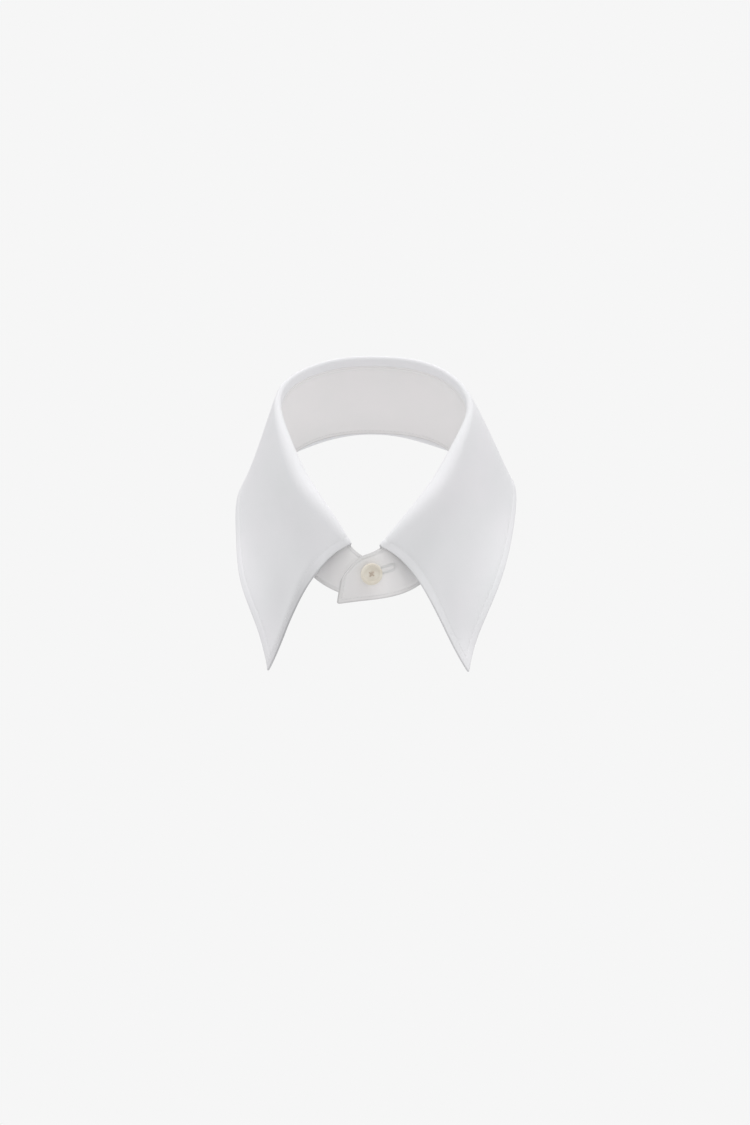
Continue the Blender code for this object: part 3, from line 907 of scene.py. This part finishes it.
def makeButtonThread(material):
    # crossed strands on the face, down through the holes, a wound shank and stitches behind
    s = threadSettings
    seat, tangent, up, out = buttonSeat()
    tabHalf = buttonSettings["tabHalf"]
    back = tabHalf + buttonSettings["lift"]
    face = back + buttonSettings["dish"] * buttonSettings["thickness"]
    hole = buttonSettings["holePitch"] / 2

    def strands(courses, radius, facing):
        # a tube on a smooth path through each course's corners, in the seat's own axes
        paths = np.stack([smoothPath(course, s["steps"]) for course in courses])
        paths = seat + paths[..., :1] * tangent + paths[..., 1:2] * up + paths[..., 2:] * out
        return tubes(paths, np.full(paths.shape[:2], radius), np.broadcast_to(facing, paths.shape))

    crossed = []
    for turn, lift in zip((1, -1), s["crossLifts"]):
        # half a strand: its reach in holes, its share of the sideways shift, and its height
        half = [(0.35, 0.5, back - 0.5), (1.0, 0.6, back + 0.3), (1 - 0.1 / hole, 1.0, face - 0.15),
                (0.72, 1.0, face + lift * 0.9), (0.0, 1.0, face + lift)]
        whole = half + [(-reach, shifted, height) for reach, shifted, height in half[-2::-1]]
        for shift in s["crossShifts"]:
            sideX, sideY = -turn * shift / math.sqrt(2), shift / math.sqrt(2)
            crossed.append([(hole * reach + sideX * shifted, hole * turn * reach + sideY * shifted,
                             height) for reach, shifted, height in whole])
    # the shank: four straight cords in the buttonhole, with a thread wound round them in front
    deep = -depthBehind(seat, out)
    cords = [[(x, y, deep), (x, y, deep / 2), (x, y, 0.2), (x * 1.3, y * 1.3, back - 0.1)]
             for x, y in ((0.2, 0.2), (-0.2, 0.2), (-0.2, -0.2), (0.2, -0.2))]
    turns = np.linspace(0, 2 * math.pi * s["coilTurns"], s["coilSteps"])[:, None]
    rise = np.linspace(tabHalf + 0.1, back - 0.18, s["coilSteps"])[:, None]
    wound = seat + s["coilRadius"] * (np.cos(turns) * tangent + np.sin(turns) * up) + rise * out
    # small crossed stitches on the inner face of the under tab
    inner = deep - bandSettings["wall"] / 2 - 0.05
    ties = [[(1.2, 1.2 * turn + shift, inner + 0.5), (0.9, 0.9 * turn + shift, inner),
             (0.0, shift, inner - 0.1), (-0.9, -0.9 * turn + shift, inner),
             (-1.2, -1.2 * turn + shift, inner + 0.5)]
            for turn in (1, -1) for shift in s["tieShifts"]]
    shapes = [
        strands(crossed, s["strand"], out),
        strands(cords, s["cord"], up),
        tubes(wound[None], np.full((1, s["coilSteps"]), s["winding"]),
              np.broadcast_to(out, (1, s["coilSteps"], 3))),
        strands(ties, s["strand"], out),
    ]
    mesh = meshFrom("buttonThread", *joined(shapes))
    newPiece("buttonThread", mesh, material, ("button_thread",))
    print("button thread faces", len(mesh.polygons))


def depthBehind(point, out):
    # how far behind the point the under tab's middle lies, straight back
    along, share = np.meshgrid(np.linspace(bandTable[0, 0], -1, 120), np.linspace(0, 1, 60))
    offsets = (bandPoint(along, share) - point).reshape(-1, 3)
    deep = -(offsets @ out)
    beside = np.linalg.norm(offsets + deep[:, None] * out, axis=1)
    return float(deep[beside.argmin()])


def slotPath(distance, count):
    # a closed round-ended outline at that distance outside the buttonhole's slit
    s = holeSettings
    straight, radius = s["length"] - s["width"], s["width"] / 2 + distance
    bend = math.pi * s["width"] / 2
    at = np.linspace(0, 2 * (straight + bend), count, endpoint=False)
    bent = np.clip(at - straight, 0, bend) + np.clip(at - 2 * straight - bend, 0, bend)
    sweep = bent / bend * math.pi
    run = np.clip(at, 0, straight) - np.clip(at - straight - bend, 0, straight)
    u = run - straight / 2 + radius * np.sin(sweep)
    v = -radius * np.cos(sweep)
    return u - straight / 2, v


def slotCutter():
    # the slit as a closed prism through the tab, following its surface
    count, reach = holeSettings["cutSteps"], holeSettings["cutReach"]
    point, out = onTab(*slotPath(0.0, count))
    front, behind = point + out * reach, point - out * reach
    middle = np.stack([front.mean(axis=0), behind.mean(axis=0)])
    index = np.arange(count)
    following = np.roll(index, -1)
    points = np.concatenate([front, behind, middle])
    faces = np.concatenate([
        np.stack([index, following, np.full(count, 2 * count)], axis=-1),
        np.stack([following + count, index + count, np.full(count, 2 * count + 1)], axis=-1),
        np.stack([index, index + count, following], axis=-1),
        np.stack([following, index + count, following + count], axis=-1),
    ])
    return meshFrom("slit", points, faces)


def makeButtonhole(material):
    # close stitches over the slit's edge, out of the cloth, over and back, with a knot on the lip
    s = holeSettings
    around = 2 * (s["length"] - s["width"]) + math.pi * s["width"]
    count = int(around / s["stitchPitch"])
    wall = bandSettings["wall"] / 2
    uneven = 0.12 * np.sin(np.arange(count) * 2.4) + 0.07 * np.sin(np.arange(count) * 5.1)
    steps = []
    for reach, height in stitchCourse:
        u, v = slotPath(reach * s["stitchReach"], count)
        if reach > 0.3:
            nearU, nearV = slotPath(reach * s["stitchReach"] * 0.8, count)
            u, v = u + (nearU - u) * uneven, v + (nearV - v) * uneven
        point, out = onTab(u, v)
        steps.append(point + out * (height * wall))
    paths = np.stack(steps, axis=1)
    _, out = onTab(*slotPath(0.0, count))
    stitches = tubes(paths, np.full(paths.shape[:2], s["stitchRadius"]),
                     np.broadcast_to(out[:, None], paths.shape))
    centre, out = onTab(*slotPath(s["knotOut"], count))
    ahead, _ = onTab(*(each[1::2] for each in slotPath(s["knotOut"], count * 2)))
    knots = []
    for side in (1, -1):
        raised = side * out * (wall * s["knotHeight"])
        reach = unit((ahead + raised) - (centre + raised)) * s["knotHalf"]
        bead = np.stack([centre + raised - reach * share for share, _ in beadCourse], axis=1)
        width = s["knotRadius"] * np.array([thick for _, thick in beadCourse])
        width = np.broadcast_to(width, bead.shape[:2])
        knots.append(tubes(bead, width, np.broadcast_to(out[:, None], bead.shape)))
    mesh = meshFrom("buttonhole", *joined([stitches, *knots]))
    newPiece("buttonhole", mesh, material)
    print("buttonhole stitches", count, "faces", len(mesh.polygons))


def nodesOf(name):
    # a new material, its node tree and its shader
    material = bpy.data.materials.new(name)
    material.use_nodes = True
    tree = material.node_tree
    return material, tree, tree.nodes["Principled BSDF"]


def setInputs(node, values):
    # numbers and colours on the node's named sockets
    for name, value in values.items():
        node.inputs[name].default_value = value
    return node


def addNode(tree, kind, **settings):
    # one node with its own settings
    node = tree.nodes.new(kind)
    for name, value in settings.items():
        setattr(node, name, value)
    return node


def maths(tree, operation, first, second):
    # one Math node; a number is set on its socket, a socket is linked
    node = addNode(tree, "ShaderNodeMath", operation=operation)
    for socket, value in zip(node.inputs, (first, second)):
        if isinstance(value, (int, float)):
            socket.default_value = value
        else:
            tree.links.new(value, socket)
    return node.outputs[0]


def onObject(tree, texture):
    # the texture laid out in the object's own metres
    coordinates = addNode(tree, "ShaderNodeTexCoord")
    tree.links.new(coordinates.outputs["Object"], texture.inputs["Vector"])
    return texture.outputs["Fac"]


def noise(tree, scale, detail):
    # cloudy values round one half
    texture = addNode(tree, "ShaderNodeTexNoise")
    return onObject(tree, setInputs(texture, {"Scale": scale, "Detail": detail}))


def uvAxes(tree, layer):
    # the two coordinates of one UV layer
    split = addNode(tree, "ShaderNodeSeparateXYZ")
    tree.links.new(addNode(tree, "ShaderNodeUVMap", uv_map=layer).outputs["UV"], split.inputs[0])
    return split.outputs


def bumped(tree, shader, height, strength, distance):
    # the height as small dents and rises of the shader's normal
    bump = setInputs(addNode(tree, "ShaderNodeBump"), {"Strength": strength, "Distance": distance})
    tree.links.new(height, bump.inputs["Height"])
    tree.links.new(bump.outputs["Normal"], shader.inputs["Normal"])


def colorRamp(tree, value, stops):
    # straight blends between the stops, each a position and a colour
    ramp = addNode(tree, "ShaderNodeValToRGB")
    elements = ramp.color_ramp.elements
    first, *between, last = stops
    for element, (position, color) in zip(elements, (first, last)):
        element.position = position
        element.color = (*color, 1)
    for position, color in between:
        elements.new(position).color = (*color, 1)
    tree.links.new(value, ramp.inputs[0])
    return ramp.outputs[0]


def product(tree, first, second):
    # one colour times another
    mix = addNode(tree, "ShaderNodeMix", data_type="RGBA", blend_type="MULTIPLY")
    mix.inputs["Factor"].default_value = 1.0
    tree.links.new(first, mix.inputs[6])
    tree.links.new(second, mix.inputs[7])
    return mix.outputs[2]


weaveSettings = {
    "warpPitch": 0.30,     # mm between threads
    "weftPitch": 0.38,
    "waverScale": 900.0,   # how quickly the threads' paths waver, and by how many radians
    "waver": 1.6,
    "slubScale": 320.0,    # thick and thin places
    "weaveHeight": 0.5,    # the weave's share of the height beside theirs
    "bump": 0.5,
    "bumpDistance": 0.00006,
    "patchScale": 28.0,    # slow patches between the two tones
    "patchFrom": 0.3,
    "patchTo": 0.7,
}
poplinSurface = {
    "Roughness": 0.85, "Specular IOR Level": 0.25, "Sheen Weight": 0.1, "Sheen Roughness": 0.45,
}
# light and dark tones of each cloth, which change at random, and its painted shade by distance in mm from
# the outline: a dark line painted at the turned edge, the padded strip left as it is, and a painted shade
# line at the stitch line
leafColors = {
    "light": (0.865, 0.857, 0.88),
    "dark": (0.835, 0.84, 0.855),
    "edge": ((0.0, 0.72), (0.35, 0.86), (0.7, 1.0), (3.7, 1.0), (4.2, 0.96), (4.7, 1.0), (6.0, 1.0)),
}
bandColors = {
    "light": (0.88, 0.858, 0.862),
    "dark": (0.85, 0.842, 0.84),
    "edge": ((0.0, 0.70), (0.7, 0.78), (1.1, 0.97), (1.9, 0.97), (2.2, 0.88), (2.6, 1.0), (4.0, 1.0)),
}


def poplin(name, colors):
    # plain weave as the product of two sines across each other, with uneven threads, over slow random
    # changes of tone, the painted edge shade and the painted light and shade
    s = weaveSettings
    material, tree, shader = nodesOf(name)
    setInputs(shader, poplinSurface)
    cloth = uvAxes(tree, "cloth")
    waver = noise(tree, s["waverScale"], 1.0)
    waves = []
    for axis, pitch in (("X", s["warpPitch"]), ("Y", s["weftPitch"])):
        turns = maths(tree, "MULTIPLY", cloth[axis], 2 * math.pi / (pitch * mm))
        turns = maths(tree, "ADD", turns, maths(tree, "MULTIPLY", waver, s["waver"]))
        waves.append(maths(tree, "SINE", turns, 0.0))
    weave = maths(tree, "MULTIPLY", maths(tree, "MULTIPLY", *waves), s["weaveHeight"])
    height = maths(tree, "ADD", weave, noise(tree, s["slubScale"], 3.0))
    bumped(tree, shader, height, s["bump"], s["bumpDistance"])

    patches = noise(tree, s["patchScale"], 3.0)
    color = colorRamp(tree, patches, [(s["patchFrom"], colors["dark"]), (s["patchTo"], colors["light"])])
    outline = uvAxes(tree, "outline")
    # painted shade: darker at the outline and along the stitch line
    far = colors["edge"][-1][0]
    stops = [(distance / far, (tone, tone, tone)) for distance, tone in colors["edge"]]
    edge = colorRamp(tree, maths(tree, "DIVIDE", outline["X"], far * mm), stops)
    # and the painted light and shade that the second coordinate holds, in per cent
    percent = maths(tree, "MULTIPLY", outline["Y"], 1 / (100 * mm))
    color = product(tree, product(tree, color, edge), maths(tree, "ADD", percent, 1.0))
    tree.links.new(color, shader.inputs["Base Color"])
    return material


def threadMaterial(name, color):
    # one colour, with a fine twist in the bump
    material, tree, shader = nodesOf(name)
    setInputs(shader, {"Base Color": (*color, 1), "Roughness": 0.6, "Sheen Weight": 0.2})
    bumped(tree, shader, noise(tree, 2600.0, 2.0), 0.4, 0.00005)
    return material


def pearlMaterial():
    # pale shell: slow curved bands of cream and grey, with a clear polish
    material, tree, shader = nodesOf("mother of pearl")
    setInputs(shader, {"Roughness": 0.32, "Coat Weight": 0.35, "Coat Roughness": 0.12})
    bands = addNode(tree, "ShaderNodeTexWave", wave_type="RINGS", rings_direction="SPHERICAL")
    setInputs(bands, {"Scale": 60.0, "Distortion": 5.0, "Detail": 3.0, "Detail Scale": 2.0})
    stops = [(0.0, (0.755, 0.70, 0.60)), (0.55, (0.80, 0.745, 0.65)), (1.0, (0.83, 0.785, 0.69))]
    color = colorRamp(tree, onObject(tree, bands), stops)
    tree.links.new(color, shader.inputs["Base Color"])
    return material


def makeStage():
    # wide pale floor well under the collar, evenly lit; it casts no light back on the cloth
    settings = {"floorLevel": -0.55, "floorHalf": 9.0, "floorTone": 0.922, "sky": 0.63}
    # soft boxes: where each stands, how wide it is, and its power
    lamps = {
        "overhead": {"at": (0.0, 0.1, 2.0), "size": 1.2, "power": 12.3},
        "high back": {"at": (0.0, 1.6, 1.5), "size": 1.0, "power": 14.7},
        "front": {"at": (0.0, -2.2, 1.0), "size": 1.2, "power": 4.2},
        "wearer's right": {"at": (-2.0, -0.2, 0.6), "size": 1.2, "power": 2.7},
        "wearer's left": {"at": (2.0, -0.2, 0.6), "size": 1.2, "power": 3.9},
        "floor bounce": {"at": (0.0, 0.0, -0.54), "size": 1.6, "power": 3.8},
    }
    mesh = meshFrom("floor", np.array([[-1, -1, 0], [1, -1, 0], [1, 1, 0], [-1, 1, 0]])
                    * settings["floorHalf"] / mm, np.array([[0, 1, 2, 3]]))
    floor = bpy.data.objects.new("floor", mesh)
    floor.location.z = settings["floorLevel"]
    floor.visible_diffuse = False
    floor.visible_glossy = False
    scene.collection.objects.link(floor)
    material, tree, shader = nodesOf("floor")
    tone = settings["floorTone"]
    setInputs(shader, {
        "Base Color": (0, 0, 0, 1), "Specular IOR Level": 0.0, "Roughness": 1.0,
        "Emission Color": (tone, tone, tone, 1), "Emission Strength": 1.0,
    })
    mesh.materials.append(material)

    # the same pale light from all round, as in a light tent
    world = bpy.data.worlds.new("studio")
    scene.world = world
    world.use_nodes = True
    setInputs(world.node_tree.nodes["Background"], {"Color": (1, 1, 1, 1), "Strength": settings["sky"]})

    for name, lamp in lamps.items():
        light = bpy.data.lights.new(name, "AREA")
        light.shape = "SQUARE"
        light.size = lamp["size"]
        light.energy = lamp["power"]
        holder = bpy.data.objects.new(name, light)
        holder.location = lamp["at"]
        holder.rotation_euler = Vector(lamp["at"]).to_track_quat("Z", "Y").to_euler()
        holder.visible_camera = False
        scene.collection.objects.link(holder)
    print("stage lamps", len(lamps))


def makeCamera():
    # stands off in front, a little to the wearer's left, looking down at the collar
    view = {"lens": 85.0, "down": 24.5, "round": -2.5, "away": 1.5, "target": (0.0015, 0.0, -0.049)}
    down, turn = math.radians(view["down"]), math.radians(view["round"])
    level = math.cos(down)
    forward = np.array([math.sin(turn) * level, math.cos(turn) * level, -math.sin(down)])
    data = bpy.data.cameras.new("camera")
    data.lens = view["lens"]
    data.sensor_width = 36.0
    camera = bpy.data.objects.new("camera", data)
    camera.location = np.array(view["target"]) - forward * view["away"]
    camera.rotation_euler = Vector(forward).to_track_quat("-Z", "Y").to_euler()
    scene.collection.objects.link(camera)
    scene.camera = camera
    print("camera at", [round(each, 3) for each in camera.location])


makeStage()
makeCamera()
scene.view_settings.view_transform = "Standard"
leafCloth = poplin("leaf poplin", leafColors)
bandCloth = poplin("band poplin", bandColors)
thread = threadMaterial("sewing thread", (0.86, 0.86, 0.86))
buttonCord = threadMaterial("button thread", (0.62, 0.53, 0.44))
leafLines = makeLeaf(leafCloth)
newPiece("leafStitches", meshFrom("leafStitches", *joined(leafLines)), thread)
bandLines = makeBand(bandCloth)
newPiece("bandStitches", meshFrom("bandStitches", *joined(bandLines)), thread)

pearl = pearlMaterial()
makeButton(pearl)
makeButtonThread(buttonCord)
makeButtonhole(thread)
